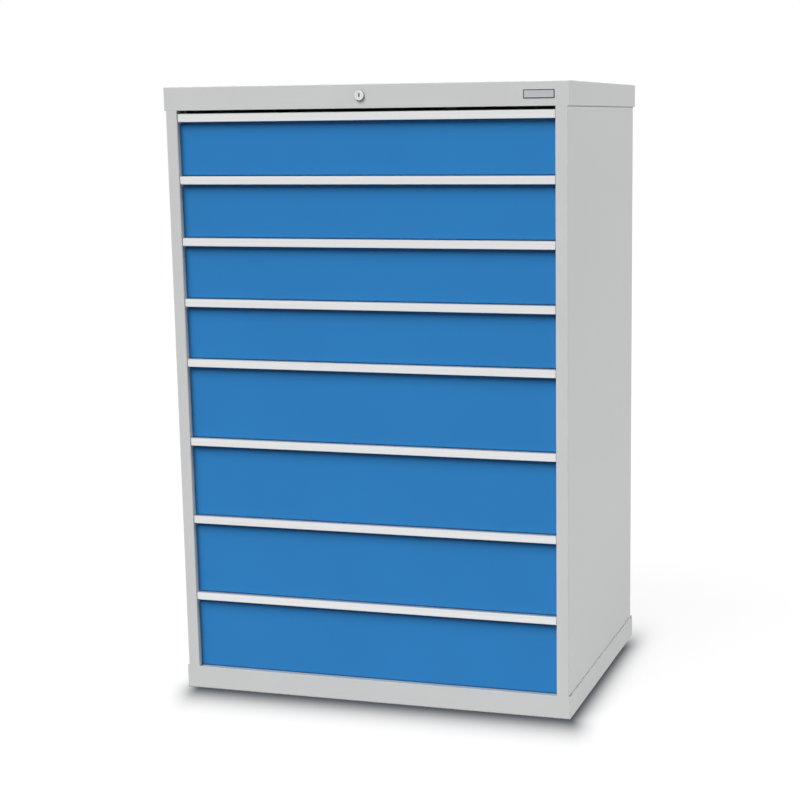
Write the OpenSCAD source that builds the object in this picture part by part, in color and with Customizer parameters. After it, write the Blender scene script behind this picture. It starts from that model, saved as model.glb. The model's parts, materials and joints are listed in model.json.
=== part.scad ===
// Workshop drawer cabinet: a folded sheet-steel case with full-width drawers on telescopic slides
// and one central lock. Millimetres, +Z up, the front faces -Y, the origin is the middle of the underside.

/* [Case] */
// Width over the skirts of the cover and the base
cab_w = 1015; // [800:5:1200]
// Depth over the skirts, without the lock
cab_d = 740; // [640:5:900]
// Height of the cover's skirt
cover_h = 57; // [50:1:80]
// Height of the base's skirt
base_h = 57.5; // [40:0.5:120]
// Gap between the base and the lowest compartment
base_gap = 4.5; // [1:0.5:10]
// Sheet of the cover and the base
pan_sheet = 2; // [1:0.1:2.4]
// Outside bend radius of the cover and the base
pan_bend = 2.6; // [2.5:0.1:6]
// Height of the folded hem inside each skirt
hem_h = 10; // [6:1:16]
// Air between the hems and the panels inside them
skirt_gap = 0.4; // [0.3:0.1:3]
// Sheet of the sides and the rear panel
sheet = 1.2; // [0.8:0.1:2]
// Inside bend radius of the sides and the posts
bend_r = 1; // [0.5:0.25:1.5]
// Width of a front stile
stile_w = 29.6; // [26:0.1:45]
// Depth of a stile's return into the opening
jamb_d = 24; // [16:1:26]
// Width of the inner flanges of a side
flange_w = 20; // [14:1:24]
// Depth of the sill along the base's front, under the lowest drawer
sill_d = 24; // [16:1:30]

/* [Drawer fronts] */
// Height of an upper drawer's compartment
low_h = 150; // [125:5:175]
// Height of a lower drawer's compartment
high_h = 200; // [175:5:250]
// Gap over the top drawer's grip
head_gap = 7.5; // [4:0.5:10]
// Gap between one drawer's front and the grip below it
front_gap = 1.2; // [1:0.1:3]
// Gap at each end of a front
end_gap = 1; // [0.8:0.1:3]
// Depth of the front panels behind the stiles
panel_recess = 14; // [9:0.5:18]
// Sheet of a front panel
front_sheet = 1.2; // [0.8:0.1:1.6]
// Depth of a front panel's returns
return_d = 16; // [14:0.5:24]
// Lap of a front panel's flanges on the tray's front wall
fix_lap = 20; // [12:1:40]

/* [Grips] */
// Depth of a grip behind the stiles
grip_recess = 2; // [1:0.5:6]
// Height of a grip's face
grip_h = 20; // [15:0.5:24]
// Wall of a grip
grip_wall = 1.6; // [1.2:0.1:2]
// Inside corner radius of a grip
grip_r = 0.8; // [0.4:0.1:1.2]
// Width of the bead along a grip's lower edge
grip_lip = 3.2; // [2.8:0.1:4]
// Gap at each end of a grip
grip_end_gap = 1; // [0.8:0.1:5]
// Height of a grip's leg behind the panel
grip_leg = 11; // [8:0.5:12]
// How far under the grip the finger pocket begins
finger_drop = 8; // [5:0.5:12]

/* [Trays] */
// Sheet of a tray
tray_sheet = 1; // [0.8:0.1:1.5]
// Height of a tray's floor over its compartment's
tray_lift = 10; // [6:1:14]
// How much lower a tray's wall is than its compartment
tray_drop = 35; // [28:1:50]
// Width of the rim folded outwards along a tray's sides
tray_rim = 8; // [5:0.5:12]
// Room behind the trays for the locking bar
rear_space = 94; // [84:1:130]

/* [Slides] */
// Room for a slide between a tray and a post
slide_room = 18.5; // [17.5:0.5:24]
// Height of a slide's case rail
rail_h = 46; // [42:1:56]
// Depth of a slide's case rail from the post
rail_w = 12; // [11:0.5:14]
// Sheet of the slide's rails
rail_t = 1.5; // [1.2:0.1:1.8]
// Inside bend radius of the slide's rails
rail_r = 0.7; // [0.4:0.1:1]
// Lip of the case rail and the middle rail
rail_lip = 4.5; // [4:0.25:5.5]
// Running gap between two rails
run_gap = 0.3; // [0.2:0.05:0.5]
// Distance from a tray's front wall to the case rail's end
rail_start = 4; // [2:0.5:10]
// How much further back the case rail reaches than the tray
rail_over = 30; // [10:1:34]

/* [Posts] */
// Width of a post's face
post_face = 40; // [30:1:60]
// Width of a post's flanges
post_flange = 10; // [8:0.5:15]
// Sheet of a post
post_t = 1.5; // [1:0.1:2]
// Distance from a rail's end to the middle of the post
post_inset = 38; // [34:1:80]
// Nominal pitch of the slots in a post
slot_pitch = 25; // [20:1:30]
// Height of a slot
slot_h = 14; // [12:0.5:16]
// Width of a slot
slot_w = 5; // [4:0.5:8]
// Gap round a rail's hook in its slot
hook_gap = 0.3; // [0.2:0.05:0.5]
// Thickness of a rail's hook behind the post
hook_t = 2; // [1.5:0.1:3]
// Drop of a rail's hook behind the post
hook_drop = 6; // [4:0.5:8]
// Height of a rail's hook in the slot
hook_neck = 6; // [4:0.5:8]

/* [Lock] */
// Height of the cover's top over the lock's axis
lock_drop = 26.5; // [25:0.5:30]
// Radius of the lock's face
lock_face_r = 12; // [11:0.5:16]
// How far the lock stands out of the cover
lock_proud = 5; // [4:0.5:16]
// Rounding of the lock's face
lock_round = 1.5; // [0.5:0.25:2]
// Radius of the lock's barrel
barrel_r = 10; // [9.5:0.5:10.5]
// Length of the barrel behind the cover's face
barrel_len = 26; // [20:1:34]
// Radius of the turning plug
plug_r = 7; // [6:0.25:8]
// How far the plug's face lies behind the lock's face
plug_sink = 0.8; // [0.4:0.1:1.5]
// Running gap round the plug and the shaft
lock_gap = 0.05; // [0.03:0.01:0.09]
// Gap round the barrel in the cover
barrel_gap = 0.2; // [0.1:0.05:0.4]
// Width of the keyhole
key_w = 3.2; // [2:0.1:4]
// Height of the keyhole
key_h = 9; // [7:0.25:10]
// Depth of the keyhole
key_d = 12; // [8:1:16]
// Width across the nut's flats
nut_af = 27; // [25:1:30]
// Thickness of the nut
nut_t = 5; // [4:0.5:8]
// Radius of the lock's shaft
shaft_r = 5; // [4:0.25:6]
// Width of the square drive between the plug and the shaft
drive_w = 7; // [6:0.25:8]
// Length of that drive
drive_len = 8; // [6:1:12]
// Radius of the shaft's sleeve over the drive
sleeve_r = 8; // [7.5:0.25:9]
// Length of the shaft's sleeve
sleeve_len = 22; // [16:1:30]
// Sheet of the shaft's bracket and the bar's guides
bracket_t = 3; // [2:0.25:4]
// Distance from the crank to the shaft's bracket
bracket_gap = 10; // [6:1:20]
// Width of the shaft's bracket
bracket_w = 36; // [30:1:50]
// Depth of the bracket's foot under the cover
bracket_foot = 22; // [16:1:30]
// Radius of the crank's disc
crank_r = 18; // [14:0.5:20]
// Thickness of the crank's disc
crank_t = 4; // [3:0.5:6]
// Distance of the crank's pin from the shaft
throw_r = 10; // [9:0.5:11]
// Radius of the crank's pin
pin_r = 3; // [2.5:0.25:3.5]
// Play of the pin in the bar's slot
pin_play = 0.5; // [0.4:0.05:0.8]

/* [Locking bar] */
// Width of the bar
bar_w = 36; // [32:1:50]
// Thickness of the bar
bar_t = 2; // [1.5:0.25:4]
// Distance of the bar from the rear panel
bar_standoff = 24; // [18:1:30]
// Air between the crank's disc and the bar
bar_air = 3; // [2:0.5:5]
// Sliding gap of the bar in its guides
bar_gap = 0.4; // [0.3:0.05:0.6]
// Height of a guide
guide_h = 30; // [20:1:40]
// Cover of a guide's lips over the bar's edges
guide_lip = 5; // [3:0.5:7]
// Width of a guide's feet on the rear panel
guide_foot = 12; // [8:1:16]
// Width of a hook on the bar
catch_w = 20; // [14:1:28]
// Reach of a tray's catch behind the tray
catch_reach = 36; // [28:1:40]
// Height of a tray's catch over the tray's floor
catch_z = 82; // [70:1:88]
// Sheet of the catches and hooks
catch_t = 2; // [1.5:0.25:3]
// Drop of a catch's lip and rise of a hook's lip
catch_lip = 14; // [12:0.5:18]
// Air between a catch and a hook while unlocked
catch_air = 3; // [2:0.5:4]

/* [Rivets] */
// Radius of a rivet's shank
rivet_r = 2; // [1.5:0.25:3]
// Radius of a rivet's head
rivet_head_r = 4; // [3.5:0.25:5]
// Height of a rivet's head
rivet_head_h = 1.2; // [0.8:0.1:1.5]
// Gap round a rivet's shank
rivet_gap = 0.1; // [0.05:0.05:0.2]
// Distance of the end rivets from the cover and the base
rivet_end = 45; // [30:5:90]

/* [Hidden] */
low_count = 4;
high_count = 4;
drawers = low_count + high_count;
rivets = 6;
bend_steps = 4;
$fn = 64;
cut = 1;

cab_h = base_h + base_gap + cover_h + low_count * low_h + high_count * high_h;
skirt_proud = 2 * pan_sheet + skirt_gap;
front_y = -cab_d / 2;
rear_y = cab_d / 2 - skirt_proud;
rear_in = rear_y - sheet;
side_x = cab_w / 2 - skirt_proud;
side_in = side_x - sheet;
open_x = side_x - stile_w;
notch_d = 2 * pan_sheet + skirt_gap;

panel_y = front_y + panel_recess;
front_x = open_x - end_gap;
tray_y = panel_y + return_d;
tray_x = open_x - slide_room;
tray_in = tray_x - tray_sheet;
tray_back = rear_in - rear_space;
grip_y = front_y + grip_recess;
grip_x = open_x - grip_end_gap;
leg_y = tray_y - 2 * front_sheet - grip_wall;

rail_y = tray_y + rail_start;
rail_end = tray_back + rail_over;
mid_h = rail_h - 2 * (rail_t + run_gap);
mid_back = open_x - rail_t - run_gap;
mid_lip = open_x - rail_w + rail_t + run_gap;
slider_x = mid_lip + rail_t + run_gap;
slider_h = mid_h - 2 * (rail_t + run_gap);
neck_h = mid_h - 2 * (rail_lip + run_gap);
post_w = post_face + 2 * post_flange;
front_post = rail_y + post_inset;
rear_post = rail_end - post_inset;

lock_z = cab_h - lock_drop;
bar_back = rear_in - bar_standoff;
bar_front = bar_back - bar_t;
crank_y = bar_front - bar_air - crank_t;
plug_end = front_y + barrel_len;
bracket_y = crank_y - bracket_gap - bracket_t;
throw_z = throw_r * sin(45);
hook_lip_y = tray_back + catch_reach - 2 * catch_t - catch_air;

steel_grey = [0.78, 0.785, 0.785];
drawer_blue = [0.18, 0.47, 0.72];
alloy = [0.88, 0.885, 0.895];
zinc = [0.68, 0.69, 0.7];
chrome = [0.85, 0.86, 0.87];

function name_of(i, piece) = str("drawer_", i, "_", piece);

// Drawers are counted from the top. Compartment floors stack up from the base.
function pitch(i) = i <= low_count ? low_h : high_h;
function floor_z(i) = i >= drawers ? base_h + base_gap : floor_z(i + 1) + pitch(i + 1);
function grip_top(i) = floor_z(i) + pitch(i) - head_gap;
function front_bottom(i) = i == drawers ? base_h + front_gap : grip_top(i + 1) + front_gap;
function pocket_z(i) = grip_top(i) - grip_h - finger_drop;
function tray_z(i) = floor_z(i) + tray_lift;
function tray_top(i) = tray_z(i) + pitch(i) - tray_drop;
function catch_at(i) = tray_z(i) + catch_z;
function hook_at(i) = catch_at(i) - 2 * catch_lip - catch_air;

// Post slots fill each compartment evenly, and a rail hangs in the second one.
function slots(i) = round(pitch(i) / slot_pitch);
function slot_z(i, k) = floor_z(i) + (k + 0.5) * pitch(i) / slots(i);
function rail_z(i) = slot_z(i, 1);

// Section of a folded sheet. The path is the sheet's left face as it is walked; each corner of it becomes
// an arc about a centre on the inner side, with the inside radius r and the sheet's thickness t.
function right_of(d) = [d[1], -d[0]];
function heading(a, b) = (b - a) / norm(b - a);
function turned(n, a) = [n[0] * cos(a) - n[1] * sin(a), n[0] * sin(a) + n[1] * cos(a)];
function bend(a, b, c, t, r, face) =
    let (n0 = right_of(heading(a, b)))
    let (n1 = right_of(heading(b, c)))
    let (angle = atan2(n0[0] * n1[1] - n0[1] * n1[0], n0 * n1))
    let (side = angle < 0 ? 1 : -1)
    let (radius = side > 0 ? r + t : r)
    let (centre = b + side * radius * (n0 + n1) / (1 + n0 * n1))
    [for (k = [0 : bend_steps]) centre + (face * t - side * radius) * turned(n0, angle * k / bend_steps)];
function sheet_face(path, t, r, face) =
    let (last = len(path) - 1)
    concat(
        [path[0] + face * t * right_of(heading(path[0], path[1]))],
        [for (i = [1 : last - 1]) each bend(path[i - 1], path[i], path[i + 1], t, r, face)],
        [path[last] + face * t * right_of(heading(path[last - 1], path[last]))]
    );
function backwards(list) = [for (i = [len(list) - 1 : -1 : 0]) list[i]];
function folded(path, t, r) = concat(sheet_face(path, t, r, 0), backwards(sheet_face(path, t, r, 1)));

// Quarter-round corner of an outline, from angle a
function corner(x, y, r, a) =
    [for (k = [0 : bend_steps]) [x, y] + r * [cos(a + 90 * k / bend_steps), sin(a + 90 * k / bend_steps)]];

// Sections carried along an axis: YZ along X, XZ along Y and XY along Z
module along_x(x0, x1) translate([x0, 0, 0]) rotate([90, 0, 90]) linear_extrude(x1 - x0) children();
module along_y(y0, y1) translate([0, y1, 0]) rotate([90, 0, 0]) linear_extrude(y1 - y0) children();
module along_z(z0, z1) translate([0, 0, z0]) linear_extrude(z1 - z0) children();
module block(low, high) translate(low) cube(high - low);
module rod(y0, y1, r) translate([0, y1, 0]) rotate([90, 0, 0]) cylinder(h = y1 - y0, r = r);
module left() mirror([1, 0, 0]) children();
module both_sides() {
    children();
    left() children();
}

// Case: cover and base are pans with hemmed skirts
module arched(w, h, r)
    polygon(concat([[-w / 2, 0], [w / 2, 0]], corner(w / 2 - r, h - r, r, 0), corner(r - w / 2, h - r, r, 90)));
module rounded(w, d, r)
    polygon(concat(
        corner(w / 2 - r, d / 2 - r, r, 0), corner(r - w / 2, d / 2 - r, r, 90),
        corner(r - w / 2, r - d / 2, r, 180), corner(w / 2 - r, r - d / 2, r, 270)
    ));
module pan_block(w, d, h, r)
    intersection() {
        along_y(-d / 2, d / 2) arched(w, h, r);
        along_x(-w / 2, w / 2) arched(d, h, r);
        along_z(0, h) rounded(w, d, r);
    }
module pan(h) {
    in_w = cab_w - 2 * pan_sheet;
    in_d = cab_d - 2 * pan_sheet;
    difference() {
        pan_block(cab_w, cab_d, h, pan_bend);
        translate([0, 0, -cut]) pan_block(in_w, in_d, h - pan_sheet + cut, pan_bend - pan_sheet);
    }
    along_z(0, hem_h) difference() {
        square([in_w, in_d], center = true);
        square([in_w - 2 * pan_sheet, in_d - 2 * pan_sheet], center = true);
    }
}
module cover()
    color(steel_grey) difference() {
        translate([0, 0, cab_h - cover_h]) pan(cover_h);
        translate([0, 0, lock_z]) rod(front_y - cut, front_y + 2 * pan_sheet + cut, barrel_r + barrel_gap);
    }
module base()
    color(steel_grey) {
        translate([0, 0, base_h]) mirror([0, 0, 1]) pan(base_h);
        block(
            [skirt_gap - open_x, front_y + pan_sheet, base_h - pan_sheet],
            [open_x - skirt_gap, front_y + sill_d, base_h]
        );
    }

// Rivet places along the rear edge of each side
function rivet_x() = side_x - flange_w / 2;
function rivet_z(k) =
    let (z0 = base_h + rivet_end)
    z0 + k * (cab_h - cover_h - rivet_end - z0) / (rivets - 1);
module at_rivets() for (k = [0 : rivets - 1]) translate([rivet_x(), 0, rivet_z(k)]) children();

// A side is one sheet: rear flange, side wall, front stile and the stile's return into the opening
module side_wall()
    color(steel_grey) difference() {
        union() {
            along_z(pan_sheet, cab_h - pan_sheet) polygon(folded([
                [side_x - flange_w, rear_in], [side_x, rear_in], [side_x, front_y],
                [open_x, front_y], [open_x, front_y + jamb_d]
            ], sheet, bend_r));
            for (z = [pan_sheet, cab_h - pan_sheet - sheet])
                block([side_x - flange_w, front_y + jamb_d, z], [side_in, rear_in, z + sheet]);
        }
        for (z = [0, cab_h - cover_h])
            block([open_x - cut, front_y - cut, z], [side_x + cut, front_y + notch_d, z + (z > 0 ? cover_h : base_h)]);
        at_rivets() rod(rear_in - sheet - cut, rear_in + cut, rivet_r + rivet_gap);
    }
module rear_panel()
    color(steel_grey) difference() {
        block([-side_in, rear_in, pan_sheet], [side_in, rear_y, cab_h - pan_sheet]);
        both_sides() at_rivets() rod(rear_in - cut, rear_y + cut, rivet_r + rivet_gap);
    }
module rear_rivets()
    color(zinc) both_sides() at_rivets() {
        rod(rear_in - sheet, rear_y, rivet_r);
        translate([0, rear_y, 0]) rotate([-90, 0, 0]) cylinder(h = rivet_head_h, r1 = rivet_head_r, r2 = rivet_r);
        rod(rear_in - sheet - rivet_head_h, rear_in - sheet, (rivet_r + rivet_head_r) / 2);
    }

// Posts: slotted hat sections on the inside of each side
module post(y) {
    wall = side_in - post_t;
    start = y - post_w / 2;
    stop = y + post_w / 2;
    difference() {
        along_z(pan_sheet + sheet, cab_h - pan_sheet - sheet) polygon(folded([
            [wall, start], [wall, start + post_flange], [open_x, start + post_flange],
            [open_x, stop - post_flange], [wall, stop - post_flange], [wall, stop]
        ], post_t, bend_r));
        for (i = [1 : drawers])
            for (k = [0 : slots(i) - 1])
                block(
                    [open_x - cut, y - slot_w / 2, slot_z(i, k) - slot_h / 2],
                    [open_x + post_t + cut, y + slot_w / 2, slot_z(i, k) + slot_h / 2]
                );
    }
}
module posts() color(zinc) for (y = [front_post, rear_post]) post(y);

// Slides: a case rail hung in the posts, a middle rail inside it and a runner on the tray
module channel(back, lip, h)
    polygon(folded([
        [lip, h / 2 - rail_lip], [lip, h / 2], [back, h / 2],
        [back, -h / 2], [lip, -h / 2], [lip, rail_lip - h / 2]
    ], rail_t, rail_r));
module rail_hook(y) {
    low = hook_gap - slot_h / 2;
    behind = open_x + post_t + hook_gap;
    half = slot_w / 2 - hook_gap;
    block([open_x - rail_t / 2, y - half, low], [behind + hook_t, y + half, low + hook_neck]);
    block([behind, y - half, low - hook_drop], [behind + hook_t, y + half, low + hook_neck]);
}
module case_rails()
    color(zinc) for (i = [1 : drawers]) translate([0, 0, rail_z(i)]) {
        along_y(rail_y, rail_end) channel(open_x, open_x - rail_w, rail_h);
        for (y = [front_post, rear_post]) rail_hook(y);
    }
module middle_rails(i)
    color(zinc) translate([0, 0, rail_z(i)])
        both_sides() along_y(rail_y, rail_end) channel(mid_back, mid_lip, mid_h);
module runners(i)
    color(zinc) translate([0, 0, rail_z(i)]) both_sides() along_y(rail_y, tray_back) polygon(folded([
        [slider_x, -slider_h / 2], [slider_x, -neck_h / 2], [tray_x, -neck_h / 2],
        [tray_x, neck_h / 2], [slider_x, neck_h / 2], [slider_x, slider_h / 2]
    ], rail_t, rail_r));

// Drawer front: a folded panel whose top leans back into a finger pocket behind the grip
module front(i) {
    bottom = front_bottom(i);
    top = pocket_z(i);
    color(drawer_blue) {
        along_x(-front_x, front_x) polygon(folded([
            [tray_y, bottom], [panel_y, bottom], [panel_y, top],
            [leg_y, top + leg_y - panel_y], [leg_y, grip_top(i) - grip_wall - grip_r]
        ], front_sheet, bend_r));
        both_sides() {
            block([front_x - front_sheet, panel_y, bottom + front_sheet], [front_x, tray_y, top]);
            block([tray_x - fix_lap, tray_y - front_sheet, bottom], [front_x, tray_y, top]);
        }
    }
}
module grip(i) {
    top = grip_top(i);
    back = leg_y + front_sheet + grip_wall;
    color(alloy) along_x(-grip_x, grip_x) polygon(folded([
        [grip_y + grip_lip, top - grip_h], [grip_y, top - grip_h], [grip_y, top],
        [back, top], [back, top - grip_leg]
    ], grip_wall, grip_r));
}

// Tray: floor and sides are one sheet with rims folded outwards, and a catch stands out behind
module tray(i) {
    low = tray_z(i) + tray_sheet;
    top = tray_top(i);
    shelf = catch_at(i);
    hanging = tray_back + catch_reach;
    color(steel_grey) {
        along_y(tray_y, tray_back) polygon(folded([
            [-tray_in - tray_rim, top], [-tray_in, top], [-tray_in, low],
            [tray_in, low], [tray_in, top], [tray_in + tray_rim, top]
        ], tray_sheet, bend_r));
        for (y = [tray_y, tray_back - tray_sheet])
            block([-tray_in, y, low], [tray_in, y + tray_sheet, top - tray_sheet]);
        block([-catch_w / 2, tray_back, shelf], [catch_w / 2, hanging, shelf + catch_t]);
        block([-catch_w / 2, hanging - catch_t, shelf - catch_lip], [catch_w / 2, hanging, shelf]);
    }
}

// Lock: housing and nut clamp the cover; plug, shaft and crank turn together
module at_lock() translate([0, 0, lock_z]) children();
module lock_housing()
    color(chrome) at_lock() translate([0, front_y, 0]) rotate([-90, 0, 0]) rotate_extrude() polygon(concat(
        [[plug_r + lock_gap, -lock_proud], [lock_face_r - lock_round, -lock_proud]],
        [for (k = [1 : bend_steps]) let (a = 90 * k / bend_steps)
            [lock_face_r - lock_round * (1 - sin(a)), lock_round * (1 - cos(a)) - lock_proud]],
        [[lock_face_r, 0], [barrel_r, 0], [barrel_r, barrel_len], [plug_r + lock_gap, barrel_len]]
    ));
module lock_nut()
    color(zinc) at_lock() difference() {
        translate([0, front_y + pan_sheet + nut_t, 0]) rotate([90, 0, 0])
            cylinder(h = nut_t, r = nut_af / sqrt(3), $fn = 6);
        rod(front_y + pan_sheet - cut, front_y + pan_sheet + nut_t + cut, barrel_r + lock_gap);
    }
module lock_plug()
    color(chrome) at_lock() difference() {
        face = front_y - lock_proud + plug_sink;
        union() {
            rod(face, plug_end, plug_r);
            block([-drive_w / 2, plug_end, -drive_w / 2], [drive_w / 2, plug_end + drive_len, drive_w / 2]);
        }
        block([-key_w / 2, face - cut, -key_h / 2], [key_w / 2, face + key_d, key_h / 2]);
    }
module lock_shaft()
    color(zinc) at_lock() difference() {
        half = drive_w / 2 + lock_gap;
        union() {
            rod(plug_end, plug_end + sleeve_len, sleeve_r);
            rod(plug_end + sleeve_len, crank_y, shaft_r);
        }
        block([-half, plug_end - cut, -half], [half, plug_end + drive_len + cut, half]);
    }
module lock_crank()
    color(zinc) at_lock() {
        rod(crank_y, crank_y + crank_t, crank_r);
        translate([throw_z, 0, -throw_z]) rod(crank_y + crank_t, bar_back + bar_t, pin_r);
    }
module shaft_bracket()
    color(zinc) difference() {
        roof = cab_h - pan_sheet;
        union() {
            block([-bracket_w / 2, bracket_y, lock_z - bracket_w / 2], [bracket_w / 2, bracket_y + bracket_t, roof]);
            block([-bracket_w / 2, bracket_y - bracket_foot, roof - bracket_t], [bracket_w / 2, bracket_y, roof]);
        }
        at_lock() rod(bracket_y - cut, bracket_y + bracket_t + cut, shaft_r + lock_gap);
    }

// Locking bar: the crank lifts it, and its hooks then stand in front of the trays' catches
module locking_bar()
    color(zinc) {
        foot = hook_at(drawers) - guide_h - catch_lip;
        slot = pin_r + pin_play;
        difference() {
            block([-bar_w / 2, bar_front, foot], [bar_w / 2, bar_back, lock_z - throw_z + slot + 2 * bar_t]);
            block(
                [throw_z - slot - pin_play, bar_front - cut, lock_z - throw_z - slot],
                [throw_r + slot + pin_play, bar_back + cut, lock_z - throw_z + slot]
            );
        }
        for (i = [1 : drawers]) {
            z = hook_at(i);
            block([-catch_w / 2, hook_lip_y, z - catch_t], [catch_w / 2, bar_front, z]);
            block([-catch_w / 2, hook_lip_y, z], [catch_w / 2, hook_lip_y + catch_t, z + catch_lip]);
        }
    }
// Each guide holds the bar's edges off the rear panel, in the free stretch under a hook
module guide_section() {
    edge = bar_w / 2 + bar_gap;
    wrap = edge + bracket_t;
    near = bar_front - bar_gap;
    translate([-wrap, bar_back + bar_gap]) square([2 * wrap, bracket_t]);
    for (s = [-1, 1]) scale([s, 1]) {
        translate([edge, near - bracket_t]) square([bracket_t, bar_back + bar_gap - near + 2 * bracket_t]);
        translate([edge - guide_lip, near - bracket_t]) square([guide_lip, bracket_t]);
        translate([edge, bar_back]) square([bracket_t, rear_in - bar_back]);
        translate([edge, rear_in - bracket_t]) square([guide_foot, bracket_t]);
    }
}
module bar_guides()
    color(zinc) for (i = [1, low_count, drawers]) {
        top = hook_at(i) - catch_lip;
        along_z(top - guide_h, top) guide_section();
    }

cover();
base();
left() side_wall();  // left_side
side_wall();  // right_side
rear_panel();
rear_rivets();
left() posts();  // left_posts
posts();  // right_posts
left() case_rails();  // left_case_rails
case_rails();  // right_case_rails
lock_housing();
lock_nut();
lock_plug();
lock_shaft();
lock_crank();
shaft_bracket();
locking_bar();
bar_guides();
for (i = [1 : drawers]) {
    front(i);
    grip(i);
    tray(i);
    runners(i);
    middle_rails(i);
}
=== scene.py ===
"""Looks of a workshop drawer cabinet: finishes, slotted trays, rivets, lock, bare plate and studio."""

import json
import logging
import math
from dataclasses import dataclass, replace
from enum import Enum
from functools import cache

import bpy
import numpy as np
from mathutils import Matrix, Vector


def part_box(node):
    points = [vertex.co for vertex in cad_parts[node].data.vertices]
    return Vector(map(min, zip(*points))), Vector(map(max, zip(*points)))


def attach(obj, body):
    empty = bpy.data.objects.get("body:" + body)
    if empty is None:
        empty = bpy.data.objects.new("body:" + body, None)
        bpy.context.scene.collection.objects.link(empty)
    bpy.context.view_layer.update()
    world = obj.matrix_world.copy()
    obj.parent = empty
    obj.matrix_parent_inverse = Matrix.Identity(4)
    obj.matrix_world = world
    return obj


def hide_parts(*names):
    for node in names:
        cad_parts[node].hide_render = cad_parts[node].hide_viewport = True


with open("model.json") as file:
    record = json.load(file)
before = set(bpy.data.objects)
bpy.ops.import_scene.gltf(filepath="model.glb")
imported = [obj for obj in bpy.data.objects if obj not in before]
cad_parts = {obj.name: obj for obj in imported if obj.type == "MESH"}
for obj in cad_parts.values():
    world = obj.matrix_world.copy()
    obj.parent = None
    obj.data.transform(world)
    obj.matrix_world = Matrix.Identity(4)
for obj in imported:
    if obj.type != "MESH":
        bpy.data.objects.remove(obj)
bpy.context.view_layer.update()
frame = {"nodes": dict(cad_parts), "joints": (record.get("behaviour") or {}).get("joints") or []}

log = logging.getLogger("cabinet")

MM = 0.001
BEND_STEPS = 6
SHARP_EDGE = math.radians(35)
NOISE_LOW = 0.3
NOISE_HIGH = 0.7
RIVET_TAIL = ((0.7, 0.0), (0.75, 0.3), (0.75, 0.7), (0.6, 0.95), (0.3, 1.0))
WHITE = (1.0, 1.0, 1.0)

Socket = bpy.types.NodeSocket
Colour = tuple[float, float, float]
Number = float | Socket
Paint = Colour | Socket
Part = tuple[np.ndarray, list[list[int]]]


class Slot(Enum):
    """Finishes of the record; no piece in this script takes them."""

    CASE = "case_paint"
    ALLOY = "alloy"
    ZINC = "zinc"
    CHROME = "chrome"


class Run(Enum):
    """Axis along which a metal was drawn or rolled."""

    X = 0
    Y = 1
    Z = 2


class Graph:
    """A shader node tree that is filled node by node."""

    def __init__(self, tree: bpy.types.NodeTree) -> None:
        """Keep the tree and clear what it came with."""
        self.tree = tree
        tree.nodes.clear()

    def add(
        self, kind: str, inputs: dict[str | int, object] | None = None, **settings: object
    ) -> bpy.types.Node:
        """Add one node.

        Args:
            kind: Blender's name of the node type.
            inputs: a value or a source socket for each named or numbered input.
            settings: properties of the node.

        Returns:
            The new node.
        """
        node = self.tree.nodes.new(kind)
        for name, value in settings.items():
            setattr(node, name, value)
        for key, value in (inputs or {}).items():
            if isinstance(value, Socket):
                self.tree.links.new(value, node.inputs[key])
            else:
                node.inputs[key].default_value = value
        return node

    def place(self, group: bpy.types.NodeTree, **inputs: float) -> bpy.types.Node:
        """Place a shared effect with its own values, where _ in a name stands for a space."""
        named = {key.replace("_", " "): value for key, value in inputs.items()}
        return self.add("ShaderNodeGroup", named, node_tree=group)

    def math(self, operation: str, *values: Number) -> Socket:
        """Combine numbers with one arithmetic operation."""
        return self.add("ShaderNodeMath", dict(enumerate(values)), operation=operation).outputs[0]

    def vector(self, operation: str, *values: Socket) -> Socket:
        """Combine vectors with one operation that gives a vector."""
        return self.add("ShaderNodeVectorMath", dict(enumerate(values)), operation=operation).outputs[0]

    def measure(self, operation: str, *values: Socket) -> Socket:
        """Combine vectors with one operation that gives a number."""
        inputs = dict(enumerate(values))
        return self.add("ShaderNodeVectorMath", inputs, operation=operation).outputs["Value"]

    def spread(self, value: Socket, low: float, high: float) -> Socket:
        """Stretch the middle of a noise, where most of it lies, to the range from low to high."""
        ends = {"From Min": NOISE_LOW, "From Max": NOISE_HIGH, "To Min": low, "To Max": high}
        return self.add("ShaderNodeMapRange", {"Value": value, **ends}).outputs[0]

    def step(self, value: Socket, none: float, full: float) -> Socket:
        """Rise smoothly from 0 where a value is none to 1 where it is full."""
        ends = {"Value": value, "From Min": none, "From Max": full}
        return self.add("ShaderNodeMapRange", ends, interpolation_type="SMOOTHSTEP").outputs[0]

    def mix(self, factor: Number, first: Paint, second: Paint) -> Socket:
        """Mix two colours by a factor: inputs 6 and 7 and output 2 are the node's colour sockets."""
        inputs = {0: factor, 6: opaque(first), 7: opaque(second)}
        return self.add("ShaderNodeMix", inputs, data_type="RGBA").outputs[2]

    def bump(self, height: Socket, normal: Socket, strength: float, depth: float) -> Socket:
        """Bend a normal by a relief.

        Args:
            height: the relief, from 0 to 1.
            normal: the normal to bend.
            strength: share of the relief that shows.
            depth: height of the full relief.

        Returns:
            The bent normal.
        """
        inputs = {"Strength": strength, "Distance": depth, "Height": height, "Normal": normal}
        return self.add("ShaderNodeBump", inputs).outputs[0]


def opaque(colour: Paint) -> tuple[float, float, float, float] | Socket:
    """Give a plain colour its fourth number, and leave a socket as it is."""
    return colour if isinstance(colour, Socket) else (*colour, 1.0)


def shade(colour: Colour, factor: float) -> Colour:
    """Make a colour lighter or darker by a factor."""
    return tuple(min(1.0, channel * factor) for channel in colour)


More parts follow.
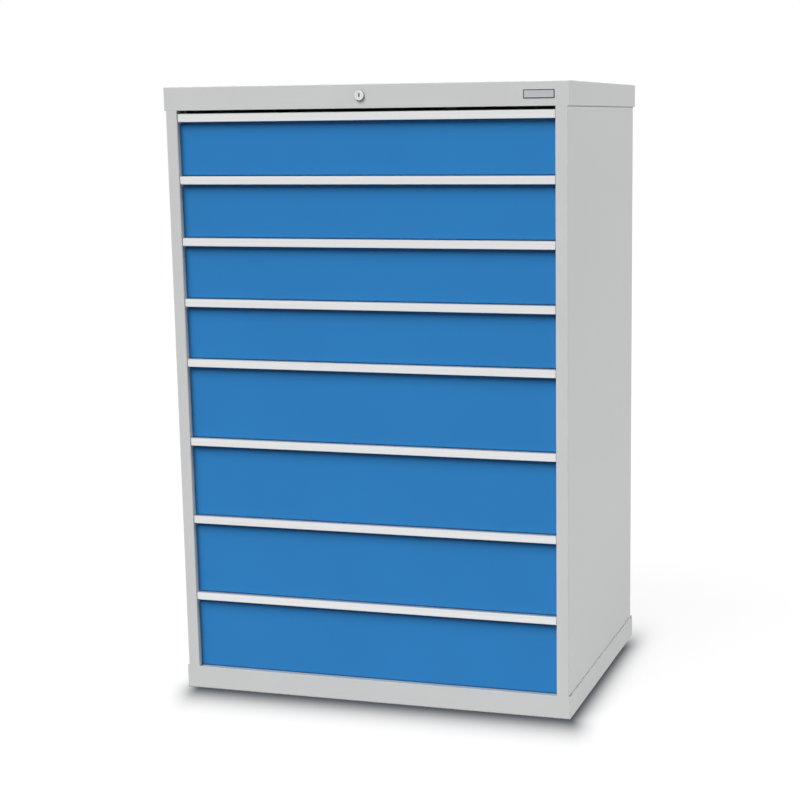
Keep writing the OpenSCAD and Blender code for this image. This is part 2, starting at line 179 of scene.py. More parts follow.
def start_effect(
    name: str, inputs: dict[str, float], outputs: dict[str, str]
) -> tuple[Graph, bpy.types.Node, bpy.types.Node]:
    """Start a shared effect as a shader node group.

    Args:
        name: name of the group.
        inputs: number inputs and their first values.
        outputs: outputs and their socket types.

    Returns:
        The group's graph, its input node and its output node.
    """
    tree = bpy.data.node_groups.new(name, "ShaderNodeTree")
    graph = Graph(tree)
    for label, value in inputs.items():
        socket = tree.interface.new_socket(label, in_out="INPUT", socket_type="NodeSocketFloat")
        socket.default_value = value
    for label, kind in outputs.items():
        tree.interface.new_socket(label, in_out="OUTPUT", socket_type=kind)
    return graph, graph.add("NodeGroupInput"), graph.add("NodeGroupOutput")


@cache
def powder_peel() -> bpy.types.NodeTree:
    """Orange peel of a powder coat, from noise in the piece.

    Returns:
        A group that gives a fine relief and a slow drift of tone.
    """
    graph, given, result = start_effect(
        "powder_peel",
        {"Grain": 600.0, "Drift": 4.0},
        {"Height": "NodeSocketFloat", "Tone": "NodeSocketFloat"},
    )
    place = graph.add("ShaderNodeTexCoord").outputs["Object"]
    grain, drift = given.outputs["Grain"], given.outputs["Drift"]
    fine = graph.add("ShaderNodeTexNoise", {"Vector": place, "Scale": grain, "Detail": 1.5})
    broad = graph.add("ShaderNodeTexNoise", {"Vector": place, "Scale": drift, "Detail": 4.0})
    graph.tree.links.new(fine.outputs[0], result.inputs["Height"])
    graph.tree.links.new(broad.outputs[0], result.inputs["Tone"])
    return graph.tree


@cache
def drawn_grain() -> bpy.types.NodeTree:
    """Lines along a drawn metal: noise that is squeezed across the run and stretched along it.

    Returns:
        A group that gives the fine lines' relief and the tone of broader ones.
    """
    graph, given, result = start_effect(
        "drawn_grain",
        {"Across X": 400.0, "Across Y": 400.0, "Across Z": 400.0},
        {"Height": "NodeSocketFloat", "Tone": "NodeSocketFloat"},
    )
    place = graph.add("ShaderNodeTexCoord").outputs["Object"]
    counts = {n: given.outputs[f"Across {n}"] for n in "XYZ"}
    squeeze = graph.add("ShaderNodeCombineXYZ", counts).outputs[0]
    lines = graph.vector("MULTIPLY", place, squeeze)
    fine = graph.add("ShaderNodeTexNoise", {"Vector": lines, "Scale": 1.0, "Detail": 3.0})
    broad = graph.add("ShaderNodeTexNoise", {"Vector": lines, "Scale": 0.17, "Detail": 2.0})
    graph.tree.links.new(fine.outputs[0], result.inputs["Height"])
    graph.tree.links.new(broad.outputs[0], result.inputs["Tone"])
    return graph.tree


@cache
def soft_edge() -> bpy.types.NodeTree:
    """Rounded edges, from the normal averaged within a small radius.

    Returns:
        A group that gives that normal and a mask of how far it turns from the face's own.
    """
    graph, given, result = start_effect(
        "soft_edge",
        {"Radius": 1.0 * MM},
        {"Normal": "NodeSocketVector", "Edge": "NodeSocketFloat"},
    )
    rounded = graph.add("ShaderNodeBevel", {"Radius": given.outputs["Radius"]}, samples=6).outputs[0]
    flat = graph.add("ShaderNodeNewGeometry").outputs["True Normal"]
    match = graph.measure("DOT_PRODUCT", rounded, flat)
    same, turned = 0.99, 0.8
    ends = {"Value": match, "From Min": same, "From Max": turned}
    mask = graph.add("ShaderNodeMapRange", ends).outputs[0]
    graph.tree.links.new(rounded, result.inputs["Normal"])
    graph.tree.links.new(mask, result.inputs["Edge"])
    return graph.tree


@cache
def zinc_spangle() -> bpy.types.NodeTree:
    """Cloudy crystals of a zinc coat: a random tone for each cell of the piece's space, clouded by noise.

    Returns:
        A group that gives the tone.
    """
    graph, given, result = start_effect("zinc_spangle", {"Count": 160.0}, {"Tone": "NodeSocketFloat"})
    place = graph.add("ShaderNodeTexCoord").outputs["Object"]
    cells = graph.add("ShaderNodeTexVoronoi", {"Vector": place, "Scale": given.outputs["Count"]})
    split = graph.add("ShaderNodeSeparateColor", {0: cells.outputs["Color"]})
    cloud = graph.add("ShaderNodeTexNoise", {"Vector": place, "Scale": 30.0, "Detail": 3.0})
    crystal = 0.4
    clouds = graph.math("MULTIPLY", cloud.outputs[0], 1.0 - crystal)
    tone = graph.math("MULTIPLY_ADD", split.outputs[0], crystal, clouds)
    graph.tree.links.new(tone, result.inputs["Tone"])
    return graph.tree


@cache
def turned_rings() -> bpy.types.NodeTree:
    """Rings of a turned face: noise along the distance from an axis that runs in Y.

    Returns:
        A group that gives the rings' relief.
    """
    graph, given, result = start_effect(
        "turned_rings",
        {"Centre X": 0.0, "Centre Z": 0.0, "Count": 4000.0},
        {"Height": "NodeSocketFloat"},
    )
    place = graph.add("ShaderNodeTexCoord").outputs["Object"]
    split = graph.add("ShaderNodeSeparateXYZ", {0: place})
    across = graph.math("SUBTRACT", split.outputs["X"], given.outputs["Centre X"])
    above = graph.math("SUBTRACT", split.outputs["Z"], given.outputs["Centre Z"])
    flat = graph.add("ShaderNodeCombineXYZ", {"X": across, "Z": above}).outputs[0]
    reach = graph.measure("LENGTH", flat)
    rings = {"W": reach, "Scale": given.outputs["Count"], "Detail": 1.0}
    noise = graph.add("ShaderNodeTexNoise", rings, noise_dimensions="1D")
    graph.tree.links.new(noise.outputs[0], result.inputs["Height"])
    return graph.tree


def start_material(name: str) -> tuple[bpy.types.Material, Graph]:
    """Start a node material.

    Args:
        name: name of the material.

    Returns:
        The material and its empty graph.
    """
    material = bpy.data.materials.new(name)
    material.use_nodes = True
    return material, Graph(material.node_tree)


def end_material(graph: Graph, shader: bpy.types.Node) -> None:
    """Send a shader to the material's output."""
    graph.add("ShaderNodeOutputMaterial", {"Surface": shader.outputs[0]})


def line_counts(run: Run, line: float, length: float) -> dict[str, float]:
    """Count a drawn grain's lines per metre: few along the run and many across it."""
    return {f"Across_{axis.name}": 1.0 / (length if axis is run else line) for axis in Run}


@dataclass(frozen=True)
class PowderCoat:
    """Powder-coated sheet with orange peel, a slow drift of tone and slightly paler edges, a painted
    highlight.

    Where ledge colours are given, faces that look up are painted: near the front a dark, bluish painted
    shade and reflection of the recess under the drawers, and further back a paler painted light.
    """

    name: str
    colour: Colour
    # painted shade and reflection for upward faces near the front, painted light for those further back
    sill: Colour | None = None
    hem: Colour | None = None
    sill_end: float = 0.0
    roughness: float = 0.45
    rough_span: float = 0.04
    gloss: float = 0.3
    grain: float = 1.5 * MM
    grain_h: float = 0.1 * MM
    relief: float = 0.12
    drift: float = 0.02
    edge: float = 1.2 * MM
    edge_highlight: float = 1.1

    def material(self) -> bpy.types.Material:
        """Mix the coat's colours, bend its normal and build its material.

        Returns:
            The coat's material.
        """
        material, graph = start_material(self.name)
        peel = graph.place(powder_peel(), Grain=1.0 / self.grain)
        edge = graph.place(soft_edge(), Radius=self.edge)
        tone = graph.spread(peel.outputs["Tone"], 0.0, 1.0)
        body = graph.mix(tone, shade(self.colour, 1.0 - self.drift), shade(self.colour, 1.0 + self.drift))
        # Painted highlight: the coat is paler where the rounded normal turns away from the face's own.
        coat = graph.mix(edge.outputs["Edge"], body, shade(self.colour, self.edge_highlight))
        # Upward faces get painted shade and a painted blue reflection near the front, and painted light
        # further back.
        if self.sill is not None and self.hem is not None:
            normal = graph.add("ShaderNodeNewGeometry").outputs["True Normal"]
            up = graph.add("ShaderNodeSeparateXYZ", {0: normal}).outputs["Z"]
            place = graph.add("ShaderNodeTexCoord").outputs["Object"]
            depth = graph.add("ShaderNodeSeparateXYZ", {0: place}).outputs["Y"]
            ledge_shade_and_light = graph.mix(graph.math("LESS_THAN", depth, self.sill_end), self.hem, self.sill)
            sloped, level = 0.5, 0.9
            coat = graph.mix(graph.step(up, sloped, level), coat, ledge_shade_and_light)
        smooth, rough = self.roughness - self.rough_span, self.roughness + self.rough_span
        shader = graph.add(
            "ShaderNodeBsdfPrincipled",
            {
                "Base Color": coat,
                "Roughness": graph.spread(peel.outputs["Tone"], smooth, rough),
                "Specular IOR Level": self.gloss,
                "Normal": graph.bump(
                    peel.outputs["Height"], edge.outputs["Normal"], self.relief, self.grain_h
                ),
            },
        )
        end_material(graph, shader)
        return material


@dataclass(frozen=True)
class DrawnMetal:
    """Drawn, rolled or brushed metal with lines along its run."""

    name: str
    colour: Colour
    run: Run = Run.X
    roughness: float = 0.34
    rough_span: float = 0.06
    line: float = 0.5 * MM
    line_h: float = 0.05 * MM
    length: float = 180 * MM
    relief: float = 0.08
    contrast: float = 0.04
    edge: float = 0.6 * MM
    metallic: float = 1.0

    def material(self) -> bpy.types.Material:
        """Draw the metal's lines in its colour, its roughness and its normal, and build its material.

        Returns:
            The metal's material.
        """
        material, graph = start_material(self.name)
        grain = graph.place(drawn_grain(), **line_counts(self.run, self.line, self.length))
        edge = graph.place(soft_edge(), Radius=self.edge)
        tone = graph.spread(grain.outputs["Tone"], 0.0, 1.0)
        darker, paler = shade(self.colour, 1.0 - self.contrast), shade(self.colour, 1.0 + self.contrast)
        smooth, rough = self.roughness - self.rough_span, self.roughness + self.rough_span
        shader = graph.add(
            "ShaderNodeBsdfPrincipled",
            {
                "Base Color": graph.mix(tone, darker, paler),
                "Metallic": self.metallic,
                "Roughness": graph.spread(grain.outputs["Height"], smooth, rough),
                "Normal": graph.bump(
                    grain.outputs["Height"], edge.outputs["Normal"], self.relief, self.line_h
                ),
            },
        )
        end_material(graph, shader)
        return material


@dataclass(frozen=True)
class ZincPlate:
    """Zinc-plated steel: cloudy crystals with a faint blue and yellow cast, over fine rolling lines."""

    name: str
    cool: Colour
    warm: Colour
    run: Run
    smooth: float = 0.3
    rough: float = 0.48
    line: float = 0.7 * MM
    line_h: float = 0.05 * MM
    length: float = 120 * MM
    relief: float = 0.1
    edge: float = 0.5 * MM

    def material(self) -> bpy.types.Material:
        """Mix the plate's two casts by its crystals and build its material.

        Returns:
            The plate's material.
        """
        material, graph = start_material(self.name)
        grain = graph.place(drawn_grain(), **line_counts(self.run, self.line, self.length))
        cloud = graph.place(zinc_spangle())
        edge = graph.place(soft_edge(), Radius=self.edge)
        tone = graph.spread(cloud.outputs["Tone"], 0.0, 1.0)
        shader = graph.add(
            "ShaderNodeBsdfPrincipled",
            {
                "Base Color": graph.mix(tone, self.cool, self.warm),
                "Metallic": 1.0,
                "Roughness": graph.spread(cloud.outputs["Tone"], self.smooth, self.rough),
                "Normal": graph.bump(
                    grain.outputs["Height"], edge.outputs["Normal"], self.relief, self.line_h
                ),
            },
        )
        end_material(graph, shader)
        return material


@dataclass(frozen=True)
class TurnedNickel:
    """Nickel with fine rings about the lock's axis, bright on the faces and dark round the wall, partly a
    dark body and partly painted shade.
    """

    name: str
    colour: Colour
    wall: Colour
    centre_z: float
    smooth: float = 0.17
    rough: float = 0.29
    ring: float = 0.25 * MM
    ring_h: float = 0.02 * MM
    relief: float = 0.1
    contrast: float = 0.06
    edge: float = 0.4 * MM

    def material(self) -> bpy.types.Material:
        """Tell faces from the wall by the piece's own normal and build the nickel's material.

        Returns:
            The nickel's material.
        """
        material, graph = start_material(self.name)
        rings = graph.place(turned_rings(), Centre_Z=self.centre_z, Count=1.0 / self.ring)
        edge = graph.place(soft_edge(), Radius=self.edge)
        tone = graph.spread(rings.outputs["Height"], 0.0, 1.0)
        normal = graph.add("ShaderNodeTexCoord").outputs["Normal"]
        facing = graph.math("ABSOLUTE", graph.add("ShaderNodeSeparateXYZ", {0: normal}).outputs["Y"])
        sideways, ahead = 0.2, 0.75
        turned = {"Value": facing, "From Min": sideways, "From Max": ahead}
        flat = graph.add("ShaderNodeMapRange", turned).outputs[0]
        face = graph.mix(tone, shade(self.colour, 1.0 - self.contrast), self.colour)
        shader = graph.add(
            "ShaderNodeBsdfPrincipled",
            {
                # The wall's dark colour is partly the lock's dark body and partly painted shade of its side.
                "Base Color": graph.mix(flat, self.wall, face),
                "Metallic": 1.0,
                "Roughness": graph.spread(rings.outputs["Height"], self.smooth, self.rough),
                "Normal": graph.bump(
                    rings.outputs["Height"], edge.outputs["Normal"], self.relief, self.ring_h
                ),
            },
        )
        end_material(graph, shader)
        return material


def folded(path: np.ndarray, thickness: float, radius: float) -> tuple[np.ndarray, np.ndarray]:
    """Work out the two faces of a folded sheet's section.

    The path is the left face as it is walked. Each corner of it becomes an arc: the normal of the leg
    before turns step by step through the bend's angle to the normal of the leg after. A face lies at
    centre + (offset - side * reach) * normal, where the offset is 0 on the left face and the thickness on
    the right one.

    Args:
        path: corners of the left face, one row each.
        thickness: thickness of the sheet.
        radius: inside radius of the bends.

    Returns:
        The points of the left face and of the right face, matched one to one.
    """
    legs = np.diff(path, axis=0)
    heading = legs / np.linalg.norm(legs, axis=1, keepdims=True)
    right = np.stack([heading[:, 1], -heading[:, 0]], axis=1)
    before, after = right[:-1], right[1:]
    alike = (before * after).sum(axis=1)
    angle = np.arctan2(before[:, 0] * after[:, 1] - before[:, 1] * after[:, 0], alike)
    side = np.where(angle < 0, 1.0, -1.0)
    reach = np.where(side > 0, radius + thickness, radius)
    centre = path[1:-1] + (side * reach / (1.0 + alike))[:, None] * (before + after)
    turn = angle[:, None] * np.linspace(0.0, 1.0, BEND_STEPS + 1)
    x, y = before[:, :1], before[:, 1:]
    cos, sin = np.cos(turn), np.sin(turn)
    normal = np.stack([x * cos - y * sin, x * sin + y * cos], axis=-1)

    def face(offset: float) -> np.ndarray:
        """Collect one face's points, end to end.

        Args:
            offset: distance of the face from the left one.

        Returns:
            The points, one row each.
        """
        arcs = centre[:, None] + (offset - side * reach)[:, None, None] * normal
        start, stop = path[:1] + offset * right[:1], path[-1:] + offset * right[-1:]
        return np.concatenate([start, arcs.reshape(-1, 2), stop])

    return face(0.0), face(thickness)


def sheet(first: np.ndarray, second: np.ndarray, keep: np.ndarray | None = None) -> Part:
    """Close two grids of points, the faces of a sheet, into one solid skin with cut-outs.

    A kept cell gives a quad on each face. A rim quad joins the faces wherever a kept cell meets a cut-out
    or the border, which is where the padded mask changes from one cell to the next.

    Args:
        first: points of one face, rows by columns.
        second: points of the other face, matched to the first.
        keep: which cells are metal, or None for all of them.

    Returns:
        The points in use and the faces, pointing outwards.
    """
    rows, columns = first.shape[:2]
    count = rows * columns
    keep = np.ones((rows - 1, columns - 1), bool) if keep is None else keep
    index = np.arange(count).reshape(rows, columns)
    top = np.stack([index[:-1, :-1], index[1:, :-1], index[1:, 1:], index[:-1, 1:]], axis=-1)[keep]
    edge = np.pad(keep.astype(int), 1)
    down = np.diff(edge, axis=0)[:, 1:-1]
    over = np.diff(edge, axis=1)[1:-1]
    lines = [
        (index[:, :-1], index[:, 1:], down),
        (index[1:], index[:-1], over),
    ]
    rims = []
    for start, stop, change in lines:
        for sign in (1, -1):
            at = change == sign
            p, q = (start[at], stop[at])[::sign]
            rims.append(np.stack([p, q, q + count, p + count], axis=-1))
    faces = np.concatenate([top, (top + count)[:, ::-1], *rims])
    points = np.concatenate([first.reshape(-1, 3), second.reshape(-1, 3)])
    corners = points[top[0]]
    normal = np.cross(corners[1] - corners[0], corners[3] - corners[0])
    if normal @ (points[top[0, 0]] - points[top[0, 0] + count]) < 0:
        faces = faces[:, ::-1]
    used, renumbered = np.unique(faces, return_inverse=True)
    return points[used], renumbered.reshape(faces.shape).tolist()


def ring_quads(rings: int, steps: int) -> tuple[np.ndarray, np.ndarray]:
    """Number the points of closed rings, and join each ring to the next one.

    Args:
        rings: number of rings.
        steps: points round a ring.

    Returns:
        The points' numbers, rings by steps, and the quads, one row each.
    """
    index = np.arange(rings * steps).reshape(rings, steps)
    beside = np.roll(index, -1, axis=1)
    quads = np.stack([index[:-1], index[1:], beside[1:], beside[:-1]], axis=-1)
    return index, quads.reshape(-1, 4)


def revolved(profile: np.ndarray, centres: np.ndarray, steps: int, front: int) -> Part:
    """Turn a profile about lines along Y, once for each centre.

    A point of the profile (r, h) at angle a lies at (x + r cos a, y + front * h, z + r sin a). The first
    ring and the last one are closed by flat faces.

    Args:
        profile: radius and height of each ring.
        centres: places of the axes, one row each.
        steps: points round a ring.
        front: 1 where the height runs towards +Y and -1 where it runs towards -Y.

    Returns:
        The points and the faces, pointing outwards.
    """
    angle = np.linspace(0.0, 2.0 * np.pi, steps, endpoint=False)
    r, h = profile[:, :1], profile[:, 1:]
    flat = np.ones_like(angle)
    shape = np.stack([r * np.cos(angle), front * h * flat, r * np.sin(angle)], axis=-1).reshape(-1, 3)
    index, quads = ring_quads(len(profile), steps)
    caps = [index[0], index[-1, ::-1]]
    faces = [face[::front] for face in (*quads, *caps)]
    points = (centres[:, None] + shape).reshape(-1, 3)
    lifted = [(face + k * len(shape)).tolist() for k in range(len(centres)) for face in faces]
    return points, lifted


def joined(parts: list[Part]) -> Part:
    """Put several parts into one.

    Args:
        parts: points and faces of each part.

    Returns:
        All points and all faces.
    """
    starts = np.cumsum([0] + [len(points) for points, _ in parts])
    faces = [[start + v for v in face] for start, (_, part) in zip(starts, parts) for face in part]
    return np.concatenate([points for points, _ in parts]), faces


def add_piece(
    name: str, part: Part, finishes: list[bpy.types.Material], body: str
) -> bpy.types.Object:
    """Make a mesh object in place and let it ride on a body.

    Args:
        name: name of the piece.
        part: its points and faces.
        finishes: its materials, the first of which covers all faces.
        body: the body that it moves with.

    Returns:
        The new object.
    """
    points, faces = part
    mesh = bpy.data.meshes.new(name)
    mesh.from_pydata(points.tolist(), [], faces)
    mesh.shade_smooth()
    mesh.set_sharp_from_angle(angle=SHARP_EDGE)
    for finish in finishes:
        mesh.materials.append(finish)
    piece = bpy.data.objects.new(name, mesh)
    bpy.context.scene.collection.objects.link(piece)
    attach(piece, body)
    log.info("made %s: %d points, rides on %s", name, len(points), body)
    return piece


def dress(node: str, finish: bpy.types.Material) -> None:
    """Give a node of the frame its finish.

    Args:
        node: name of the node.
        finish: its material.
    """
    piece = frame["nodes"][node]
    if not piece.material_slots:
        piece.data.materials.append(finish)
    for place in piece.material_slots:
        place.material = finish
    log.info("dressed %s with %s", node, finish.name)


@dataclass
class Finishes:
    """All materials of the cabinet."""

    lock_z: float
    sill_d: float = 25.0 * MM
    grey: Colour = (0.54, 0.55, 0.55)
    # painted ledge colours: shade and blue reflection near the front, light on the hems behind
    sill: Colour = (0.24, 0.29, 0.34)
    hem: Colour = (0.68, 0.7, 0.73)
    blue: Colour = (0.022, 0.18, 0.455)
    alloy: Colour = (0.82, 0.821, 0.825)
    cool_zinc: Colour = (0.47, 0.49, 0.52)
    warm_zinc: Colour = (0.58, 0.58, 0.56)
    bright_nickel: Colour = (0.8, 0.803, 0.81)
    dark_body_and_wall_shade: Colour = (0.13, 0.135, 0.145)
    dark_steel: Colour = (0.02, 0.021, 0.024)
    enamel: Colour = (0.05, 0.055, 0.065)
    plate_grey: Colour = (0.52, 0.54, 0.57)

    def __post_init__(self) -> None:
        """Build each material once."""
        case = PowderCoat("light_grey_powder_coat", self.grey, edge_highlight=1.02)
        # The base's upward faces are painted: shade and a blue reflection on the front ledge, paler light
        # behind it.
        edges = {"sill": self.sill, "hem": self.hem, "sill_end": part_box("base")[0].y + self.sill_d}
        rail = ZincPlate("zinc_plate_rail", self.cool_zinc, self.warm_zinc, Run.Y)
        self.case = case.material()
        self.base = replace(case, name="light_grey_powder_coat_base", **edges).material()
        self.drawer = PowderCoat("blue_powder_coat", self.blue, gloss=0.2, edge_highlight=1.05).material()
        self.grip = DrawnMetal("anodised_extrusion", self.alloy, roughness=0.58, metallic=0.95).material()
        self.rail = rail.material()
        self.post = replace(rail, name="zinc_plate_post", run=Run.Z).material()
        nickel = TurnedNickel("turned_nickel", self.bright_nickel, self.dark_body_and_wall_shade, self.lock_z)
        self.nickel = nickel.material()
        self.shutter = DrawnMetal("dark_shutter", self.dark_steel, Run.Z, roughness=0.5).material()
        self.border = PowderCoat("plate_border_enamel", self.enamel, roughness=0.3, edge=0.3 * MM).material()
        self.field = DrawnMetal("plate_field", self.plate_grey, roughness=0.42, line=0.3 * MM).material()


@dataclass
class Case:
    """The fixed sheet-metal case with its posts, rails and rear rivets."""

    finishes: Finishes
    rivets: int = 6
    head_r: float = 4.0 * MM
    head_h: float = 1.15 * MM
    pin_r: float = 1.3 * MM
    pin_sink: float = 0.45 * MM
    dimple_top: float = 1.17 * MM
    dimple_floor: float = 0.65 * MM
    sheets_held: int = 2
    dome_steps: int = 7
    ring_steps: int = 20

    def dress(self) -> None:
        """Give the fixed nodes their finishes."""
        dress("base", self.finishes.base)
        for node in ("cover", "left_side", "right_side", "rear_panel"):
            dress(node, self.finishes.case)
        for side in ("left", "right"):
            dress(f"{side}_posts", self.finishes.post)
            dress(f"{side}_case_rails", self.finishes.rail)

    def rivet_heads(self) -> bpy.types.Object:
        """Make the domed heads and the upset tails of the blind rivets.

        A head's ring at angle t has the radius head_r cos t and the height head_h sin t, up to the edge of
        the pulled pin's dimple. A tail is a short barrel inside the flange, and RIVET_TAIL gives its rings
        in shares of head_r and of its own depth.

        Returns:
            The new piece.
        """
        low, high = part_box("rear_rivets")
        panel_low, panel_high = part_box("rear_panel")
        t = np.linspace(0.0, math.acos(self.pin_r / self.head_r), self.dome_steps)
        dome = np.stack([self.head_r * np.cos(t), self.head_h * np.sin(t)], axis=1)
        sunk = dome[-1, 1] - self.pin_sink
        head = np.concatenate([dome, [[self.dimple_top, sunk], [self.dimple_floor, sunk]]])
        x = high.x - self.head_r
        z = np.linspace(low.z + self.head_r, high.z - self.head_r, self.rivets)
        sides = np.repeat([-x, x], self.rivets)
        centres = np.stack([sides, np.full_like(sides, panel_high.y), np.tile(z, 2)], axis=1)
        held = self.sheets_held * (panel_high.y - panel_low.y)
        inside = centres - [0.0, held, 0.0]
        depth = panel_high.y - held - low.y
        tail = np.array(RIVET_TAIL) * [self.head_r, depth]
        heads = revolved(head, centres, self.ring_steps, 1)
        tails = revolved(tail, inside, self.ring_steps, -1)
        part = joined([heads, tails])
        piece = add_piece("rear_rivet_heads", part, [self.finishes.rail], "case")
        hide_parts("rear_rivets")
        return piece


@dataclass
class SlottedTray:
    """One drawer's sheet tray: folded floor and sides, end walls, divider slots and the lock's catch."""

    number: int
    finish: bpy.types.Material
    sheet: float = 1.0 * MM
    bend: float = 1.0 * MM
    rim: float = 8.0 * MM
    slot_pitch: float = 25.0 * MM
    slot_w: float = 4.0 * MM
    slot_h: float = 14.0 * MM
    slot_edge: float = 12.0 * MM
    catch_w: float = 20.0 * MM
    catch_t: float = 2.0 * MM
    catch_z: float = 82.0 * MM
    catch_lip: float = 14.0 * MM
    catch_reach: float = 36.0 * MM

    def __post_init__(self) -> None:
        """Take the tray's box from the frame."""
        low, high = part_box(f"drawer_{self.number}_tray")
        self.inner_x = high.x - self.rim
        self.front, self.back = low.y, high.y - self.catch_reach
        self.floor, self.top = low.z + self.sheet, high.z

    def slot_edges(self, start: float, stop: float) -> np.ndarray:
        """Spread slots evenly about the middle of a stretch.

        Args:
            start: where the stretch begins.
            stop: where it ends.

        Returns:
            The slots' edges in order, a pair for each slot.
        """
        count = int((stop - start - 2.0 * self.slot_edge) / self.slot_pitch) + 1
        middle = 0.5 * (start + stop) + self.slot_pitch * (np.arange(count) - 0.5 * (count - 1))
        return (middle[:, None] + 0.5 * self.slot_w * np.array([-1.0, 1.0])).ravel()

    def slot_heights(self) -> np.ndarray:
        """Place the two rows of slots in a wall.

        Returns:
            The lower and the upper edge of the low row, then those of the high row.
        """
        low = self.floor + self.slot_edge
        high = self.top - self.slot_edge - self.slot_h
        return np.array([low, low + self.slot_h, high, high + self.slot_h])

    def folded_body(self) -> Part:
        """Fold rims, walls and floor from one sheet, with slots in the walls.

        The section lies across X and Z and is carried along Y. Rows of points are added to it where the
        slots begin and end, counted along the section, and a cell is cut where it lies in a slot both ways.

        Returns:
            The points and the faces.
        """
        x, rim, top, floor = self.inner_x, self.inner_x + self.rim, self.top, self.floor
        path = np.array([[-rim, top], [-x, top], [-x, floor], [x, floor], [x, top], [rim, top]])
        left, right = folded(path, self.sheet, self.bend)
        run = np.concatenate([[0.0], np.cumsum(np.linalg.norm(np.diff(left, axis=0), axis=1))])
        wall = BEND_STEPS + 1
        down = run[wall] + left[wall, 1] - self.slot_heights()[::-1]
        up = run[-1] - down[::-1]
        rows = np.sort(np.concatenate([run, down, up]))
        edges = self.slot_edges(self.front, self.back)
        stations = np.concatenate([[self.front], edges, [self.back]])
        grids = []
        for side in (left, right):
            across, height = (np.interp(rows, run, side[:, k])[:, None] for k in (0, 1))
            grids.append(np.stack(np.broadcast_arrays(across, stations[None], height), axis=-1))
        in_row = self.inside(rows, np.concatenate([down, up]))
        in_column = self.inside(stations, edges)
        return sheet(grids[0], grids[1], ~np.outer(in_row, in_column))

    @staticmethod
    def inside(stations: np.ndarray, edges: np.ndarray) -> np.ndarray:
        """Say for each interval between stations whether its middle lies between a pair of edges."""
        middle = 0.5 * (stations[1:] + stations[:-1])
        return np.searchsorted(edges, middle) % 2 == 1

    def end_wall(self, near: float) -> Part:
        """Make a flat slotted wall across the tray, one sheet thick.

        Its two faces are grids in X and Z at y = near and y = near + sheet.

        Args:
            near: place of the face that looks forwards.

        Returns:
            The points and the faces.
        """
        z = self.slot_heights()
        x = self.slot_edges(-self.inner_x, self.inner_x)
        rows = np.concatenate([[self.floor], z, [self.top - self.sheet]])
        columns = np.concatenate([[-self.inner_x], x, [self.inner_x]])
        across, height = np.meshgrid(columns, rows)
        faces = (np.full_like(across, y) for y in (near, near + self.sheet))
        grids = [np.stack([across, face, height], axis=-1) for face in faces]
        cut = np.outer(self.inside(rows, z), self.inside(columns, x))
        return sheet(grids[0], grids[1], ~cut)

    def catch(self) -> Part:
        """Fold the catch behind the tray: a shelf and a lip that hangs from its end, carried along X.

        Returns:
            The points and the faces.
        """
        shelf = self.floor - self.sheet + self.catch_z + self.catch_t
        end = self.back + self.catch_reach
        path = np.array([[self.back, shelf], [end, shelf], [end, shelf - self.catch_t - self.catch_lip]])
        faces = folded(path, self.catch_t, self.bend)
        width = 0.5 * self.catch_w * np.array([-1.0, 1.0])
        grids = [np.stack(np.broadcast_arrays(width[None], f[:, :1], f[:, 1:]), axis=-1) for f in faces]
        return sheet(grids[0], grids[1])

    def build(self) -> bpy.types.Object:
        """Make the tray in place of the frame's plain one.

        Returns:
            The new piece.
        """
        walls = [self.end_wall(self.front), self.end_wall(self.back - self.sheet)]
        part = joined([self.folded_body(), *walls, self.catch()])
        name = f"drawer_{self.number}_tray"
        piece = add_piece(f"{name}_slotted", part, [self.finish], f"drawer_{self.number}")
        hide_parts(name)
        return piece


@dataclass
class Drawer:
    """One drawer with its front, grip, tray and slides."""

    number: int
    finishes: Finishes

    def dress(self) -> None:
        """Give the drawer's nodes their finishes and make its tray."""
        name = f"drawer_{self.number}"
        dress(f"{name}_front", self.finishes.drawer)
        dress(f"{name}_grip", self.finishes.grip)
        dress(f"{name}_runners", self.finishes.rail)
        dress(f"{name}_middle_rails", self.finishes.rail)
        SlottedTray(self.number, self.finishes.case).build()


@dataclass
class CentralLock:
    """The central lock: face and plug, shaft, crank and locking bar."""

    finishes: Finishes
    key_w: float = 3.1 * MM
    key_h: float = 8.8 * MM
    shutter_sink: float = 1.2 * MM
    shutter_t: float = 1.0 * MM
    groove: float = 0.5 * MM
    across_steps: int = 9
    up_steps: int = 3

    def dress(self) -> None:
        """Give the lock's nodes their finishes."""
        for node in ("lock_housing", "lock_plug"):
            dress(node, self.finishes.nickel)
        for node in ("lock_nut", "lock_shaft", "lock_crank", "shaft_bracket"):
            dress(node, self.finishes.rail)
        for node in ("locking_bar", "bar_guides"):
            dress(node, self.finishes.post)

    def key_shutter(self) -> bpy.types.Object:
        """Make the sprung shutter behind the keyhole.

        It is a plate whose front is a shallow V: at u across the width, from -1 to 1, its depth is
        groove * (1 - |u|).

        Returns:
            The new piece.
        """
        low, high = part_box("lock_plug")
        middle = 0.5 * (low.z + high.z)
        u = np.linspace(-1.0, 1.0, self.across_steps)
        v = np.linspace(-1.0, 1.0, self.up_steps)
        across, height = np.meshgrid(u, v)
        depth = low.y + self.shutter_sink + self.groove * (1.0 - np.abs(across))
        x = 0.5 * self.key_w * across
        z = middle + 0.5 * self.key_h * height
        back = np.full_like(depth, low.y + self.shutter_sink + self.shutter_t)
        part = sheet(np.stack([x, depth, z], axis=-1), np.stack([x, back, z], axis=-1))
        return add_piece("key_shutter", part, [self.finishes.shutter], "lock_rotor")


